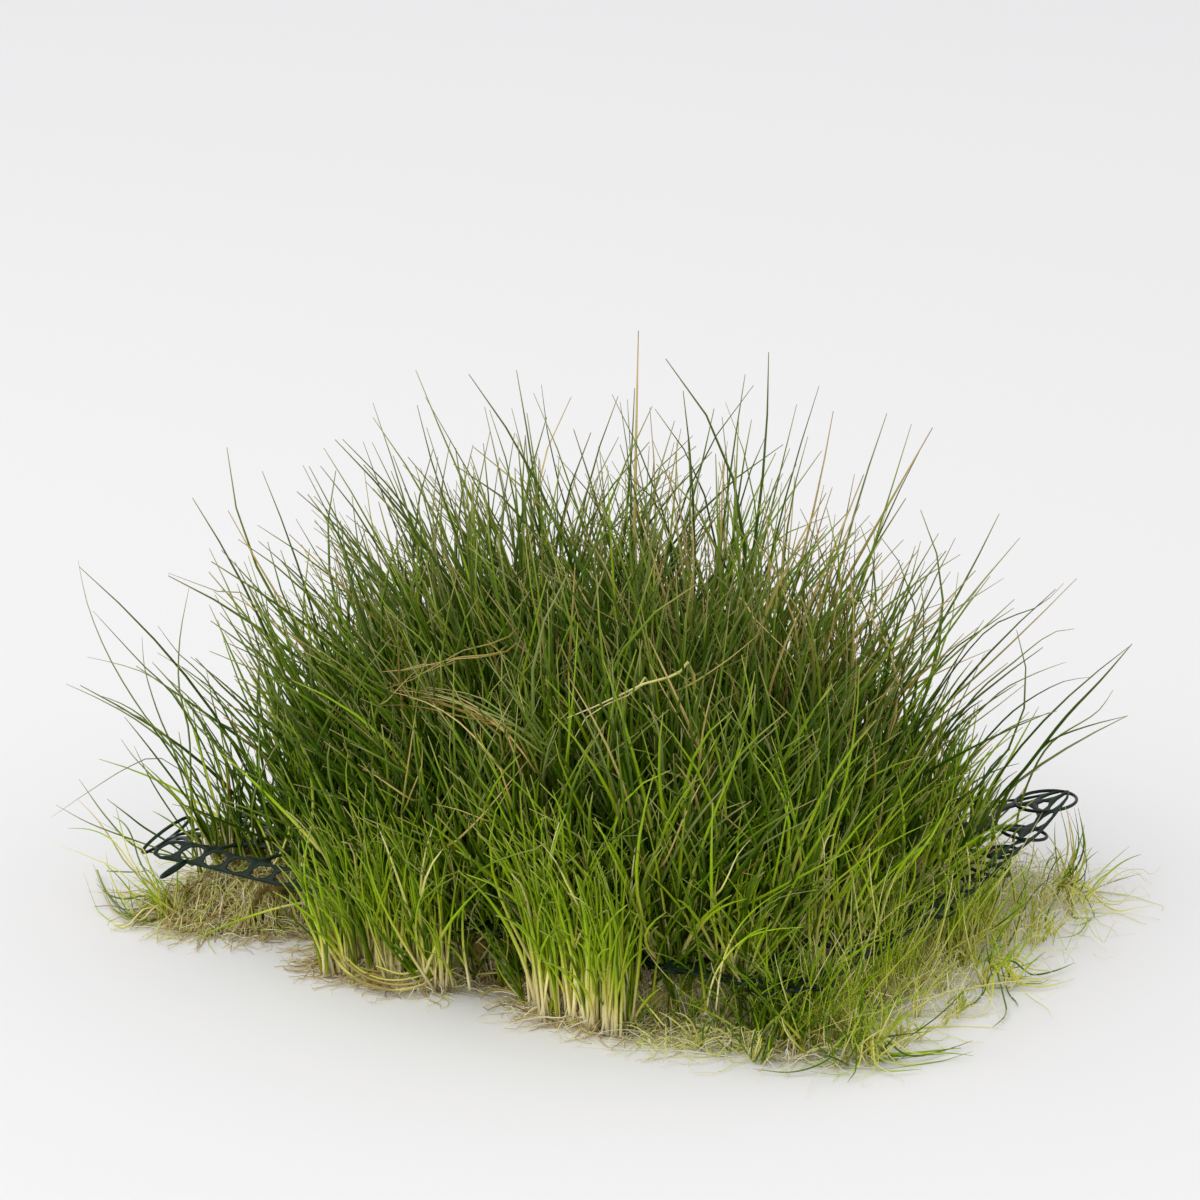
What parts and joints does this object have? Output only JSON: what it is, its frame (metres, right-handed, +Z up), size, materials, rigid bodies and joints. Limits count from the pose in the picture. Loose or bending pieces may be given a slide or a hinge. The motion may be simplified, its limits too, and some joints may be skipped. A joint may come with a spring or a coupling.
{
  "type": "dwarf hairgrass aquarium plant",
  "caption": "Low dome of hair-thin green blades grown through a looped plastic filament mat, on a flat felt of roots and runners.",
  "frame": {"origin": "on the surface that the plant rests on, straight below the centre of the plastic mat", "axes": "+Z up; +X along the mat's long side, towards the right-hand end in the picture; -Y towards the front"},
  "size_m": [0.1869, 0.1283, 0.099],
  "materials": {
    "grass": "satin",
    "young_grass": "satin",
    "runners": "satin",
    "roots": "matte",
    "plastic_mat": "satin"
  },
  "bodies": {
    "root": {"filament_mat": "plastic_mat", "rim_tuft_1": "young_grass", "rim_tuft_2": "young_grass", "rim_tuft_3": "young_grass", "rim_tuft_4": "young_grass", "rim_tuft_5": "young_grass", "rim_tuft_6": "young_grass", "rim_tuft_7": "young_grass", "rim_tuft_8": "young_grass", "rim_tuft_9": "young_grass", "root_felt": "roots", "spray_back_corner": "runners", "spray_left_corner": "runners", "spray_near_corner": "runners", "spray_right_corner": "runners", "spray_right_edge": "runners", "tuft_1_1": "grass", "tuft_1_2": "grass", "tuft_1_3": "grass", "tuft_1_4": "grass", "tuft_1_5": "grass", "tuft_2_1": "grass", "tuft_2_2": "grass", "tuft_2_3": "grass", "tuft_2_4": "grass", "tuft_2_5": "grass", "tuft_3_1": "grass", "tuft_3_2": "grass", "tuft_3_3": "grass", "tuft_3_4": "grass", "tuft_3_5": "grass", "tuft_4_1": "grass", "tuft_4_2": "grass", "tuft_4_3": "grass", "tuft_4_4": "grass", "tuft_4_5": "grass", "tuft_5_1": "grass", "tuft_5_2": "grass", "tuft_5_3": "grass", "tuft_5_4": "grass", "tuft_5_5": "grass", "tuft_6_1": "grass", "tuft_6_2": "grass", "tuft_6_3": "grass", "tuft_6_4": "grass", "tuft_6_5": "grass", "tuft_7_1": "grass", "tuft_7_2": "grass", "tuft_7_3": "grass", "tuft_7_4": "grass", "tuft_7_5": "grass"}
  },
  "joints": []
}
